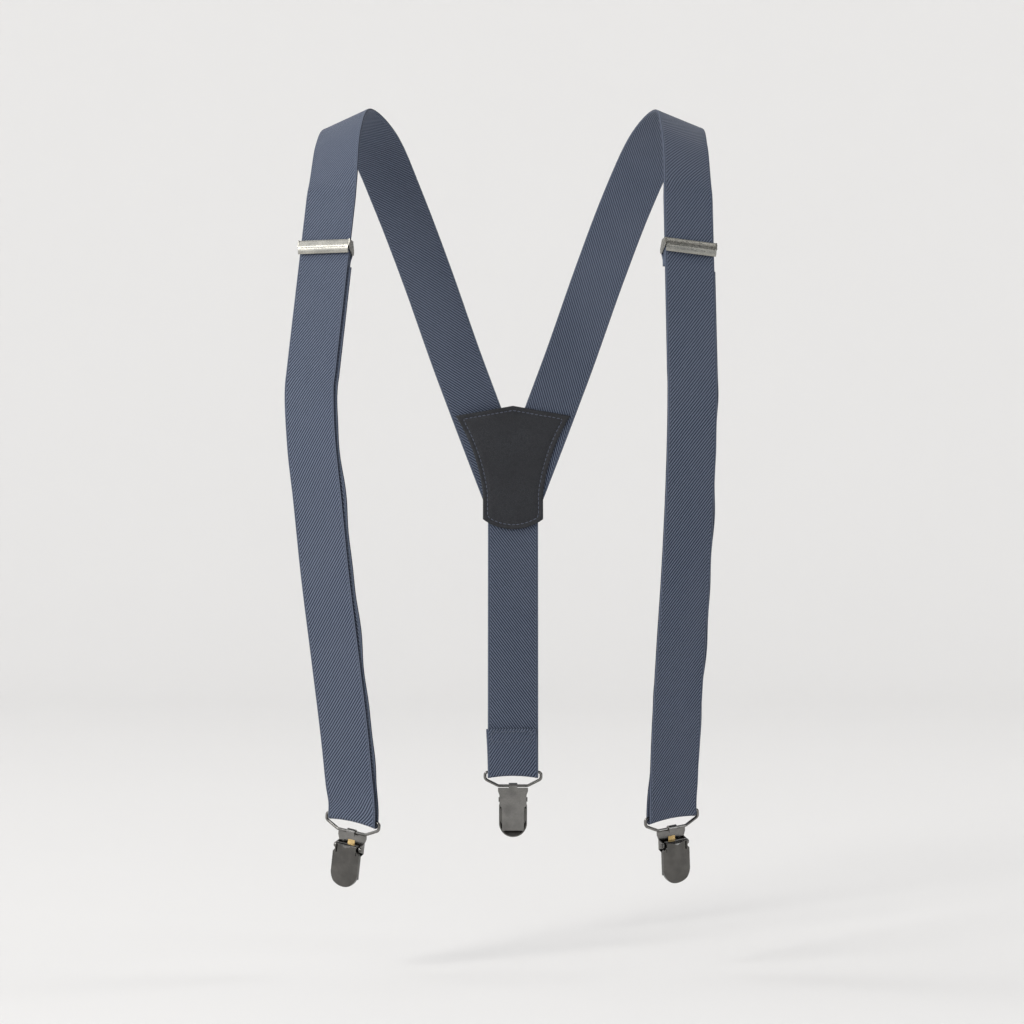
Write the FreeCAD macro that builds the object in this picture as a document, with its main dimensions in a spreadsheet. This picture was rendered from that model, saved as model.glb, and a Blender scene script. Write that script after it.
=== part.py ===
import FreeCAD, Part
import os
import Sketcher
from math import cos, pi, sin, tan

# Suspenders, millimetres. +Z is up, the wearer faces -Y and +X is the wearer's left.
# The origin lies midway between the two straps' undersides where they rest on the shoulders.

Vec = FreeCAD.Vector

DIMENSIONS = {
    # webbing
    "strap_width": 35.0,
    "strap_thickness": 1.6,
    "layer_gap": 0.4,
    "fold_clearance": 0.1,
    "return_shift": 1.6,
    "section_pitch": 11.0,
    "patch_thickness": 1.4,
    # adjuster
    "adjuster_height": 9.2,
    "adjuster_sheet": 1.0,
    "adjuster_ear": 0.6,
    "adjuster_side_gap": 0.15,
    "rivet_head": 0.3,
    "adjuster_pin_radius": 0.8,
    "adjuster_pin_depth": 2.3,
    "adjuster_pin_height": 2.7,
    "tail_bar_radius": 1.0,
    "tail_bar_depth": 3.9,
    "tail_bar_height": -2.6,
    "tail_length": 13.0,
    # clip
    "wire_radius": 1.0,
    "loop_height": 9.4,
    "loop_half_width": 19.4,
    "loop_corner_height": 4.6,
    "loop_foot": 10.2,
    "clip_sheet": 0.9,
    "wire_fit": 0.1,
    "hook_width": 6.0,
    "shoulder_half": 10.4,
    "ear_outer": 9.4,
    "pin_radius": 0.9,
    "pin_depth": 2.6,
    "pin_drop": 9.8,
    "paddle_top": 7.4,
    "paddle_top_half": 7.7,
    "paddle_shoulder": 12.9,
    "paddle_half": 9.7,
    "paddle_straight": 27.0,
    "paddle_bottom": 36.0,
    "paddle_front": 6.9,
    "paddle_depth": 4.2,
    "jaw_back": 1.4,
    "jaw_bottom": 31.0,
    "pad_thickness": 0.6,
}

# Where each clip hangs: the middle of its wire loop's lower bar, that bar's direction, the way
# the clip hangs down from it, and the way the strap comes down to it.
CLIP_SEATS = {
    "left": ((-104.4, -90.0, -466.6), (0.884, -0.440, -0.160), (-0.115, 0.14, -0.98), (0.02, 0.27, -0.96)),
    "right": ((102.8, -90.0, -464.2), (0.884, 0.450, 0.128), (0.05, 0.20, -0.97), (0.00, 0.27, -0.96)),
    "back": ((0.0, 92.0, -452.0), (-1.0, 0.0, 0.0), (0.0, 0.02, -1.0), (0.0, -0.12, -1.0)),
}

# Each shoulder strap's middle line, from the yoke patch over the shoulder to the clip's loop,
# with the way its outer face looks at each point. The straight stretch on the upper chest
# (four points in line) is where the adjuster slides.
SHOULDER_ROUTES = {
    "left": [
        ((-4.0, 119.9, -250.0), (0.0, 1.0, 0.0)),
        ((-17.5, 119.9, -215.0), (0.0, 1.0, 0.0)),
        ((-27.0, 119.4, -190.0), (-0.03, 1.0, 0.05)),
        ((-40.0, 113.8, -155.0), (-0.08, 0.99, 0.12)),
        ((-60.0, 100.0, -98.0), (-0.15, 0.93, 0.33)),
        ((-79.0, 76.0, -48.0), (-0.22, 0.75, 0.62)),
        ((-94.5, 41.0, -13.0), (-0.32, 0.40, 0.87)),
        ((-109.5, 3.0, 0.8), (-0.40, 0.0, 0.92)),
        ((-114.8, -40.0, -14.0), (-0.46, -0.47, 0.75)),
        ((-117.0, -72.0, -45.0), (-0.40, -0.86, 0.31)),
        ((-118.3, -75.9, -58.0), (-0.36, -0.90, 0.28)),
        ((-129.3, -108.9, -168.0), (-0.36, -0.90, 0.28)),
        ((-130.4, -112.5, -180.0), (-0.38, -0.91, 0.20)),
        ((-128.8, -121.0, -214.0), (-0.41, -0.91, 0.10)),
        ((-124.6, -125.5, -252.0), (-0.42, -0.91, 0.0)),
        ((-119.8, -124.5, -300.0), (-0.42, -0.91, -0.02)),
        ((-114.0, -118.5, -350.0), (-0.42, -0.91, -0.08)),
        ((-108.5, -108.5, -400.0), (-0.42, -0.91, -0.10)),
        ((-105.6, -98.8, -434.0), (-0.43, -0.90, -0.14)),
    ],
    "right": [
        ((4.0, 116.35, -250.0), (0.0, 1.0, 0.0)),
        ((17.5, 116.35, -215.0), (0.0, 1.0, 0.0)),
        ((27.0, 116.4, -190.0), (0.02, 1.0, 0.04)),
        ((40.0, 112.4, -155.0), (0.08, 0.99, 0.12)),
        ((60.0, 100.0, -98.0), (0.15, 0.93, 0.33)),
        ((79.0, 76.0, -48.0), (0.22, 0.75, 0.62)),
        ((95.5, 41.0, -13.0), (0.32, 0.40, 0.87)),
        ((109.5, 3.0, 0.8), (0.36, 0.0, 0.93)),
        ((112.4, -40.0, -14.0), (0.44, -0.48, 0.76)),
        ((113.4, -72.0, -45.0), (0.42, -0.85, 0.28)),
        ((113.6, -75.9, -58.0), (0.38, -0.90, 0.28)),
        ((114.7, -108.9, -168.0), (0.38, -0.90, 0.28)),
        ((114.8, -112.5, -180.0), (0.39, -0.91, 0.20)),
        ((113.9, -121.0, -214.0), (0.41, -0.91, 0.10)),
        ((112.4, -125.5, -252.0), (0.42, -0.91, 0.0)),
        ((110.0, -124.5, -300.0), (0.42, -0.91, -0.02)),
        ((107.0, -118.5, -350.0), (0.42, -0.91, -0.08)),
        ((104.6, -108.5, -400.0), (0.42, -0.91, -0.10)),
        ((103.6, -98.8, -434.0), (0.43, -0.90, -0.14)),
    ],
}
BACK_ROUTE = [
    ((0.0, 118.2, -206.0), (0.0, 1.0, 0.0)),
    ((0.0, 118.2, -246.0), (0.0, 1.0, 0.0)),
    ((0.0, 118.2, -254.0), (0.0, 1.0, 0.0)),
    ((0.0, 117.3, -275.0), (0.0, 1.0, -0.04)),
    ((0.0, 114.5, -300.0), (0.0, 1.0, -0.10)),
    ((0.0, 106.5, -350.0), (0.0, 1.0, -0.15)),
    ((0.0, 99.4, -396.0), (0.0, 1.0, -0.14)),
    ((0.0, 96.6, -420.0), (0.0, 1.0, -0.12)),
]
STRAIGHT_START = 10     # the route point where the adjuster's straight stretch begins
ADJUSTER_DROP = 32.5    # along that stretch, from its upper end to the adjuster's middle
BACK_TAIL = 30.0        # how far the back strap's sewn end runs up behind it

doc = FreeCAD.newDocument("Suspenders")
sheet = doc.addObject("Spreadsheet::Sheet", "Dims")
for row, (alias, value) in enumerate(DIMENSIONS.items(), start=1):
    sheet.set(f"A{row}", alias)
    sheet.set(f"B{row}", str(value))
    sheet.setAlias(f"B{row}", alias)
doc.recompute()
pieces = []


def dim(alias):
    return float(sheet.get(alias))


def bound(text):
    """Turn plain alias names in an expression into references to the sheet."""
    for alias in sorted(DIMENSIONS, key=len, reverse=True):
        text = text.replace(f"<{alias}>", f"Dims.{alias}")
    return text


# ---------------------------------------------------------------- bands of webbing

def spline_point(points, i, t):
    """Centripetal Catmull-Rom between points i and i + 1."""
    a = points[max(i - 1, 0)]
    b, c = points[i], points[i + 1]
    d = points[min(i + 2, len(points) - 1)]
    if i == 0:
        a = b * 2 - c
    if i == len(points) - 2:
        d = c * 2 - b
    k0, k1, k2, k3 = 0.0, 0.0, 0.0, 0.0
    k1 = k0 + (b - a).Length ** 0.5
    k2 = k1 + (c - b).Length ** 0.5
    k3 = k2 + (d - c).Length ** 0.5
    k = k1 + (k2 - k1) * t
    ab = a * ((k1 - k) / (k1 - k0)) + b * ((k - k0) / (k1 - k0))
    bc = b * ((k2 - k) / (k2 - k1)) + c * ((k - k1) / (k2 - k1))
    cd = c * ((k3 - k) / (k3 - k2)) + d * ((k - k2) / (k3 - k2))
    abc = ab * ((k2 - k) / (k2 - k0)) + bc * ((k - k0) / (k2 - k0))
    bcd = bc * ((k3 - k) / (k3 - k1)) + cd * ((k - k1) / (k3 - k1))
    return abc * ((k2 - k) / (k2 - k1)) + bcd * ((k - k1) / (k2 - k1))


class Section:
    """One cross-section of a band: its middle, its way along, its width and its outer face."""

    def __init__(self, middle, along, facing):
        self.middle = middle
        self.along = Vec(along).normalize()
        self.width = Vec(facing).cross(self.along).normalize()
        self.out = self.along.cross(self.width)

    def moved(self, outward, sideways=0.0):
        copy = Section(self.middle + self.out * outward + self.width * sideways, self.along, self.out)
        return copy


def route_sections(route, pitch):
    """Sections along a route, with none added where four points in a row are in line."""
    points = [Vec(*p) for p, facing in route]
    faces = [Vec(*facing) for p, facing in route]
    sections = []
    for i in range(len(points) - 1):
        straight = STRAIGHT_START == i and len(route) > STRAIGHT_START + 2
        steps = 1 if straight else max(2, round((points[i + 1] - points[i]).Length / pitch))
        for step in range(steps + (i == len(points) - 2)):
            t = step / steps
            here = spline_point(points, i, t)
            ahead = spline_point(points, i, t + 0.01) - spline_point(points, i, t - 0.01)
            blend = t * t * (3 - 2 * t)
            sections.append(Section(here, ahead, faces[i] * (1 - blend) + faces[i + 1] * blend))
    return sections


def band_solid(sections, width, thickness):
    """A closed ribbon through the sections, with flat faces ruled from each to the next."""
    rings = []
    for cut in sections:
        half, face = cut.width * (width / 2), cut.out * (thickness / 2)
        corners = [cut.middle + half + face, cut.middle - half + face,
                   cut.middle - half - face, cut.middle + half - face]
        rings.append(Part.makePolygon(corners + corners[:1]))
    solid = Part.makeLoft(rings, True, True)
    if solid.Volume < 0:
        solid.reverse()
    return solid


def fold_sections(top_bar, turn_radius):
    """The half turn round a wire, from the band's front to its back, with its flat lead-in."""
    centre, bar, down, out = top_bar
    sections = []
    for step in range(9):
        angle = pi * step / 8
        outward = out * cos(angle) + down * sin(angle)
        along = down * cos(angle) - out * sin(angle)
        sections.append(Section(centre + outward * turn_radius, along, outward))
    return sections


def square_to(axis, direction):
    """The part of a direction that is at right angles to an axis."""
    return (direction - axis * direction.dot(axis)).normalize()


def clip_frame(side):
    """Origin on the loop's lower bar, and the directions right, away and up seen from outside."""
    seat, bar, clip_fall, strap_fall = CLIP_SEATS[side]
    right = Vec(*bar).normalize()
    up = square_to(right, Vec(*clip_fall)) * -1
    return Vec(*seat), right, up.cross(right), up


def loop_bar(side):
    """The wire loop's top bar, inside the strap's fold."""
    seat, right, away, up = clip_frame(side)
    fall = square_to(right, Vec(*CLIP_SEATS[side][3]))
    return seat + up * dim("loop_height"), right, fall, fall.cross(right)


def webbing(label, solid):
    feature = doc.addObject("Part::Feature", label)
    feature.Shape = solid
    feature.Placement = FreeCAD.Placement()
    pieces.append(feature)


def strap_with_fold(route, side, return_end):
    """The sections of a strap down to its clip, round the wire and up behind itself."""
    thickness, gap = dim("strap_thickness"), dim("layer_gap")
    turn_radius = dim("wire_radius") + dim("fold_clearance") + thickness / 2
    bar = loop_bar(side)
    fold = fold_sections(bar, turn_radius)
    lead = fold[0].middle - bar[2] * 9.0
    facing = bar[3]
    whole = route + [(tuple(lead), tuple(facing)), (tuple(fold[0].middle), tuple(facing))]
    run = route_sections(whole, dim("section_pitch"))
    back = []
    for cut in reversed(run[:-1]):
        travelled = (cut.middle - fold[0].middle).Length
        if return_end(cut.middle):
            break
        close = thickness + gap
        wide = 2 * turn_radius
        ease = min(1.0, travelled / 45.0)
        ease = ease * ease * (3 - 2 * ease)
        depth = wide + (close - wide) * ease
        moved = cut.moved(-depth, dim("return_shift") * ease)
        back.append(Section(moved.middle, cut.along * -1, cut.out * -1))
    return run[:-1] + fold, back


def adjuster_frame(side):
    """Origin at the strap's middle under the adjuster, then right, away and up."""
    route = SHOULDER_ROUTES[side]
    upper, lower = Vec(*route[STRAIGHT_START][0]), Vec(*route[STRAIGHT_START + 1][0])
    cut = Section(upper, lower - upper, Vec(*route[STRAIGHT_START][1]))
    origin = upper + cut.along * ADJUSTER_DROP
    return origin, cut.width, cut.out * -1, cut.along * -1


def build_shoulder_strap(side):
    route = SHOULDER_ROUTES[side]
    width, thickness = dim("strap_width"), dim("strap_thickness")
    straight_end = Vec(*route[STRAIGHT_START + 1][0])
    front, back = strap_with_fold(route, side, lambda p: p.z > straight_end.z + 0.5)
    webbing(f"{side}_strap", band_solid(front + back, width, thickness))
    origin, right, away, up = adjuster_frame(side)
    depth = thickness + dim("layer_gap")
    tail_end = origin - up * (dim("tail_length") + 0.3)
    shift = away * depth + right * dim("return_shift")
    strip_facing = away
    upper = Section(tail_end + shift, up, strip_facing)
    lower_point = straight_end + shift + up * 0.3
    lower = Section(lower_point, up, strip_facing)
    webbing(f"{side}_return_end", band_solid([lower, upper], width, thickness))


def build_back_strap():
    width, thickness = dim("strap_width"), dim("strap_thickness")
    stop = loop_bar("back")[0].z + BACK_TAIL
    front, back = strap_with_fold(BACK_ROUTE, "back", lambda p: p.z > stop)
    webbing("back_strap", band_solid(front + back, width, thickness))


def build_patch():
    """Two leatherette patches shaped like a shield, either side of the three straps' ends."""
    stack = 1.5 * dim("strap_thickness") + 0.45
    middle = BACK_ROUTE[0][0][1]
    outline = [(-40.0, -196.0), (0.0, -189.0), (40.0, -196.0), (21.0, -250.0), (21.0, -268.0),
               (-21.0, -268.0), (-21.0, -250.0)]
    for label, start, reach in (("yoke_patch_outer", middle + stack, dim("patch_thickness")),
                                ("yoke_patch_inner", middle - stack, -dim("patch_thickness"))):
        points = [Vec(x, start, z) for x, z in outline]
        left_curve = Part.Arc(points[6], Vec(-27.5, start, -222.0), points[0]).toShape()
        top_left = Part.LineSegment(points[0], points[1]).toShape()
        top_right = Part.LineSegment(points[1], points[2]).toShape()
        right_curve = Part.Arc(points[2], Vec(27.5, start, -222.0), points[3]).toShape()
        right_side = Part.LineSegment(points[3], points[4]).toShape()
        foot = Part.Arc(points[4], Vec(0.0, start, -275.0), points[5]).toShape()
        left_side = Part.LineSegment(points[5], points[6]).toShape()
        ring = Part.Wire([top_left, top_right, right_curve, right_side, foot, left_side, left_curve])
        webbing(label, Part.Face(ring).extrude(Vec(0, reach, 0)))


# ---------------------------------------------------------------- sheet metal and moulded pieces

def placed(frame):
    """The placement that takes x, y, z to a frame's right, away and up."""
    origin, right, away, up = frame
    return FreeCAD.Placement(FreeCAD.Matrix(
        right.x, away.x, up.x, origin.x,
        right.y, away.y, up.y, origin.y,
        right.z, away.z, up.z, origin.z,
        0, 0, 0, 1))


def new_body(label, frame):
    body = doc.addObject("PartDesign::Body", label)
    body.Placement = placed(frame)
    pieces.append(body)
    return body


def plane_sketch(body, name, role, offset):
    sketch = body.newObject("Sketcher::SketchObject", name)
    plane = [feature for feature in body.Origin.OriginFeatures if feature.Role == role][0]
    sketch.AttachmentSupport = (plane, [""])
    sketch.MapMode = "FlatFace"
    sketch.setExpression("AttachmentOffset.Base.z", bound(offset))
    return sketch


def value(owner, text):
    return float(owner.evalExpression(bound(text)))


def pin_point(sketch, geometry, vertex, corner):
    for kind, text in (("DistanceX", corner[0]), ("DistanceY", corner[1])):
        size = value(sketch, text)
        index = sketch.addConstraint(Sketcher.Constraint(kind, -1, 1, geometry, vertex, size))
        sketch.setExpression(f"Constraints[{index}]", bound(text))


def add_outline(sketch, corners, arcs=None):
    """A closed outline through corners given as pairs of expressions. arcs gives, for the side
    that starts at a corner's index, a point that the side's arc passes through."""
    arcs = arcs or {}
    spots = [Vec(value(sketch, a), value(sketch, b), 0) for a, b in corners]
    ends = []
    for i, start in enumerate(spots):
        stop = spots[(i + 1) % len(spots)]
        if i not in arcs:
            line = sketch.addGeometry(Part.LineSegment(start, stop), False)
            ends.append((line, 1, 2))
            continue
        via = Vec(value(sketch, arcs[i][0]), value(sketch, arcs[i][1]), 0)
        arc = Part.Arc(start, via, stop)
        anticlockwise = (via - start).cross(stop - via).z > 0
        arc = arc if anticlockwise else Part.Arc(stop, via, start)
        curve = sketch.addGeometry(arc, False)
        ends.append((curve, 1, 2) if anticlockwise else (curve, 2, 1))
    for i, (side, first, last) in enumerate(ends):
        follower = ends[(i + 1) % len(ends)]
        sketch.addConstraint(Sketcher.Constraint("Coincident", side, last, follower[0], follower[1]))
        pin_point(sketch, side, first, corners[i])
    for i, via in arcs.items():
        side, first, last = ends[i]
        chord = spots[(i + 1) % len(spots)] - spots[i]
        middle = spots[i] + chord * 0.5
        if (sketch.Geometry[side].Center - middle).Length < 1e-4:
            across = 0 if abs(chord.y) > abs(chord.x) else 1
            text = f"(({corners[i][across]}) + ({corners[(i + 1) % len(corners)][across]})) / 2"
            kind = ("DistanceX", "DistanceY")[across]
            index = sketch.addConstraint(Sketcher.Constraint(kind, -1, 1, side, 3, value(sketch, text)))
            sketch.setExpression(f"Constraints[{index}]", bound(text))
            continue
        spot = Vec(value(sketch, via[0]), value(sketch, via[1]), 0)
        mark = sketch.addGeometry(Part.Point(spot), True)
        sketch.addConstraint(Sketcher.Constraint("PointOnObject", mark, 1, side))
        pin_point(sketch, mark, 1, via)


def add_circle(sketch, centre, radius):
    spot = Vec(value(sketch, centre[0]), value(sketch, centre[1]), 0)
    ring = sketch.addGeometry(Part.Circle(spot, Vec(0, 0, 1), value(sketch, radius)), False)
    size = sketch.addConstraint(Sketcher.Constraint("Radius", ring, value(sketch, radius)))
    sketch.setExpression(f"Constraints[{size}]", bound(radius))
    pin_point(sketch, ring, 3, centre)


def extrude(body, kind, sketch, length, both_ways=False):
    feature = body.newObject(f"PartDesign::{kind}", sketch.Label + "_" + kind.lower())
    feature.Profile = sketch
    if both_ways:
        feature.SideType = "Symmetric"
    feature.setExpression("Length", bound(length))
    doc.recompute()
    return feature


def front_pad(body, name, back, thickness, corners, arcs=None, kind="Pad"):
    """A plate seen from the front, from depth `back` towards the viewer by `thickness`."""
    sketch = plane_sketch(body, name, "XZ_Plane", f"-({back})")
    add_outline(sketch, corners, arcs)
    return extrude(body, kind, sketch, thickness)


def side_pad(body, name, width, corners, arcs=None, start=None, kind="Pad"):
    """A profile seen from the side (away, up), run along the strap's width."""
    sketch = plane_sketch(body, name, "YZ_Plane", start or "0 mm")
    add_outline(sketch, corners, arcs)
    return extrude(body, kind, sketch, width, both_ways=start is None)


def side_rod(body, name, width, centre, radius, kind="Pad"):
    sketch = plane_sketch(body, name, "YZ_Plane", "0 mm")
    add_circle(sketch, centre, radius)
    return extrude(body, kind, sketch, width, both_ways=True)


def rectangle(x0, x1, z0, z1):
    return [(x0, z0), (x1, z0), (x1, z1), (x0, z1)]


def build_adjuster(side):
    frame = adjuster_frame(side)
    half = "(<strap_width> / 2 + <adjuster_side_gap>)"
    ear_outer = f"({half} + <adjuster_ear>)"
    pin = ("-<adjuster_pin_depth>", "<adjuster_pin_height>")
    bar = ("<tail_bar_depth>", "<tail_bar_height>")

    body = new_body(f"{side}_adjuster_frame", frame)
    reach = "<adjuster_height> / 2"
    ear = [("-<adjuster_pin_depth> - 1.5", f"{reach}"), ("-<adjuster_pin_depth> - 1.5", "0"),
           ("<tail_bar_depth> - 0.6", "-4.6"), ("<tail_bar_depth> + 1.5", "-4.1"),
           ("<tail_bar_depth> + 1.5", "-1.2"), ("2.2", f"{reach}")]
    side_pad(body, "right_ear", "<adjuster_ear>", ear, start=half)
    side_pad(body, "left_ear", "<adjuster_ear>", ear, start=f"-{ear_outer}")
    anvil_back = "<strap_thickness> / 2 + 0.3 + <adjuster_sheet>"
    front_pad(body, "anvil", anvil_back, "<adjuster_sheet>",
              rectangle(f"-{ear_outer}", ear_outer, "0.9", reach))
    side_rod(body, "tail_bar", f"2 * {ear_outer}", bar, "<tail_bar_radius>")
    side_rod(body, "pin_holes", f"2 * {ear_outer} + 2", pin, "<adjuster_pin_radius>", kind="Pocket")

    body = new_body(f"{side}_adjuster_pin", frame)
    side_rod(body, "shank", f"2 * {ear_outer}", pin, "<adjuster_pin_radius>")
    for name, start in (("right_head", ear_outer), ("left_head", f"-{ear_outer} - <rivet_head>")):
        sketch = plane_sketch(body, name, "YZ_Plane", start)
        add_circle(sketch, pin, "<adjuster_pin_radius> + 0.4")
        extrude(body, "Pad", sketch, "<rivet_head>")

    body = new_body(f"{side}_adjuster_lever", frame)
    crown = "-<adjuster_pin_depth> - 1.9"
    rim = "-<adjuster_pin_depth> - 0.3"
    top, low = f"{reach}", f"-{reach}"
    sheet_in = "<adjuster_sheet>"
    shell = [(rim, low), (f"{rim} - 0.25", f"{low} - 0.0"), (f"{rim} - 0.25", top), (rim, top),
             (f"{rim} + 0.75", f"{top} - 0.6"), (f"{rim} + 0.75", f"{low} + 0.6")]
    arcs = {1: (crown, "0"), 4: (f"{crown} + {sheet_in}", "0")}
    side_pad(body, "cover", "<strap_width> + 0.2", shell, arcs)
    side_rod(body, "barrel", "<strap_width> + 0.2", pin, "<adjuster_pin_radius> + 0.6")
    grip = [("-<adjuster_pin_depth> - 0.9", "<adjuster_pin_height> - 0.2"),
            ("-<adjuster_pin_depth> - 0.9", "<adjuster_pin_height> - 2.0"),
            ("-<strap_thickness> / 2 - 0.15", "<adjuster_pin_height> - 1.5"),
            ("-<strap_thickness> / 2 - 0.2", "<adjuster_pin_height> - 0.6")]
    side_pad(body, "bite", "<strap_width> - 3", grip)
    ridge = [(f"{crown} + 0.12", "-1.1"), (f"{crown} - 0.22", "-0.75"), (f"{crown} - 0.22", "0.35"),
             (f"{crown} + 0.12", "0.7")]
    side_pad(body, "ridge", "<strap_width> - 3", ridge)
    side_rod(body, "bore", "<strap_width> + 4", pin, "<adjuster_pin_radius> + 0.05", kind="Pocket")

    body = new_body(f"{side}_tail_loop", frame)
    inner = "(<tail_bar_radius> + <fold_clearance>)"
    outer = f"({inner} + <strap_thickness>)"
    depth, height = "<tail_bar_depth>", "<tail_bar_height>"
    foot = "-<tail_length>"
    wrap = [(f"{depth} - {outer}", foot), (f"{depth} - {outer}", height), (f"{depth} + {outer}", height),
            (f"{depth} - {outer} + 2 * <strap_thickness> + 0.1", f"{height} - 7"),
            (f"{depth} - {outer} + 2 * <strap_thickness> + 0.1", foot),
            (f"{depth} - {outer} + <strap_thickness> + 0.1", foot),
            (f"{depth} - {outer} + <strap_thickness> + 0.1", f"{height} - 7"),
            (f"{depth} + {inner}", height), (f"{depth} - {inner}", height),
            (f"{depth} - {inner}", foot)]
    arcs = {1: (depth, f"{height} + {outer}"), 7: (depth, f"{height} + {inner}")}
    side_pad(body, "wrap", "<strap_width> - 0.4", wrap, arcs)


def rounded_path(points, radii):
    """A closed wire through the points, with an arc of the given radius at each."""
    edges, marks = [], []
    for i, corner in enumerate(points):
        before = (points[i - 1] - corner).normalize()
        after = (points[(i + 1) % len(points)] - corner).normalize()
        half_turn = (pi - before.getAngle(after)) / 2
        trim = radii[i] * tan(half_turn)
        towards = (before + after).normalize()
        centre = corner + towards * (radii[i] / cos(half_turn))
        marks.append((corner + before * trim, centre - towards * radii[i], corner + after * trim))
    for i, (start, via, stop) in enumerate(marks):
        edges.append(Part.Arc(start, via, stop).toShape())
        edges.append(Part.LineSegment(stop, marks[(i + 1) % len(marks)][0]).toShape())
    return Part.Wire(edges)


def build_wire_loop(side):
    """The wide loop of round wire: a straight top bar, and sides that draw in to a short foot."""
    wide, foot = dim("loop_half_width"), dim("loop_foot")
    top, corner = dim("loop_height"), dim("loop_corner_height")
    half = [(foot, 0.0, 3.0), (wide, corner, 2.6), (wide, top, 1.7)]
    outline = half + [(-x, z, radius) for x, z, radius in reversed(half)]
    path = rounded_path([Vec(x, 0, z) for x, z, radius in outline], [radius for x, z, radius in outline])
    start = path.OrderedEdges[0].valueAt(path.OrderedEdges[0].FirstParameter)
    heading = path.OrderedEdges[0].tangentAt(path.OrderedEdges[0].FirstParameter)
    ring = Part.Wire([Part.makeCircle(dim("wire_radius"), start, heading)])
    loop = doc.addObject("Part::Feature", f"{side}_wire_loop")
    loop.Shape = path.makePipeShell([ring], True, False)
    loop.Placement = placed(clip_frame(side))
    pieces.append(loop)


def build_clip_base(side):
    body = new_body(f"{side}_clip_base", clip_frame(side))
    front = "(<wire_radius> + <wire_fit>)"
    back = f"({front} + <clip_sheet>)"
    neck = "<ear_outer>"
    plate = [("-<shoulder_half>", "-1.3"), ("-<shoulder_half>", "-3.6"), (f"-{neck}", "-6.4"),
             (f"-{neck}", "-13.4"), ("-7.6", "-15.5"), ("-7.6", "-<jaw_bottom>"), ("7.6", "-<jaw_bottom>"),
             ("7.6", "-15.5"), (neck, "-13.4"), (neck, "-6.4"), ("<shoulder_half>", "-3.6"),
             ("<shoulder_half>", "-1.3")]
    front_pad(body, "plate", back, "<clip_sheet>", plate)
    hook = [(front, "-1.6"), (back, "-1.6"), (back, "0"), (f"-{back}", "0"), (f"-{back}", "-2.4"),
            (f"-{front}", "-2.4"), (f"-{front}", "0"), (front, "0")]
    side_pad(body, "hook", "<hook_width>", hook, {2: ("0", back), 6: ("0", front)})
    ear = [(back, "-6.6"), (back, "-13.2"), ("-<pin_depth>", "-<pin_drop> - 2"),
           ("-<pin_depth>", "-<pin_drop> + 2")]
    arcs = {2: ("-<pin_depth> - 2", "-<pin_drop>")}
    side_pad(body, "right_ear", "<clip_sheet>", ear, arcs, start="<ear_outer> - <clip_sheet>")
    side_pad(body, "left_ear", "<clip_sheet>", ear, arcs, start="-<ear_outer>")
    side_rod(body, "pin_holes", "30", ("-<pin_depth>", "-<pin_drop>"), "<pin_radius>", kind="Pocket")
    lip = [(back, "-<jaw_bottom> + 0.9"), (back, "-<jaw_bottom>"), ("-0.15", "-<jaw_bottom> + 0.3"),
           ("-0.15", "-<jaw_bottom> + 0.8")]
    side_pad(body, "lip", "15.2", lip)


def build_clip_pin(side):
    body = new_body(f"{side}_clip_pin", clip_frame(side))
    centre = ("-<pin_depth>", "-<pin_drop>")
    side_rod(body, "shank", "2 * <ear_outer>", centre, "<pin_radius>")
    for name, start in (("right_head", "<ear_outer>"), ("left_head", "-<ear_outer> - 0.6")):
        sketch = plane_sketch(body, name, "YZ_Plane", start)
        add_circle(sketch, centre, "<pin_radius> + 0.7")
        extrude(body, "Pad", sketch, "0.6")


def build_clip_jaw(side):
    body = new_body(f"{side}_clip_jaw", clip_frame(side))
    plate = [("-6.7", "-10.7"), ("-6.7", "-14.6"), ("-9.1", "-16.4"), ("-9.1", "-24.0"),
             ("-7.6", "-27.0"), ("-7.6", "-<jaw_bottom>"), ("7.6", "-<jaw_bottom>"), ("7.6", "-27.0"),
             ("9.1", "-24.0"), ("9.1", "-16.4"), ("6.7", "-14.6"), ("6.7", "-10.7")]
    front_pad(body, "plate", "-<jaw_back>", "0.8", plate)
    tab = [("-<jaw_back>", "-10.7"), ("-<jaw_back>", "-12.2"), ("-<pin_depth>", "-<pin_drop> - 1.35"),
           ("-<pin_depth>", "-<pin_drop> + 1.35")]
    arcs = {2: ("-<pin_depth> - 1.35", "-<pin_drop>")}
    side_pad(body, "right_tab", "0.8", tab, arcs, start="5.9")
    side_pad(body, "left_tab", "0.8", tab, arcs, start="-6.7")
    side_rod(body, "pin_bore", "20", ("-<pin_depth>", "-<pin_drop>"), "<pin_radius> + 0.05", kind="Pocket")
    lip = [("-<jaw_back> - 0.8", "-<jaw_bottom> + 0.9"), ("-<jaw_back> - 0.8", "-<jaw_bottom>"),
           ("-0.75", "-<jaw_bottom> + 0.3"), ("-0.75", "-<jaw_bottom> + 0.8")]
    side_pad(body, "lip", "15.2", lip)


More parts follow.
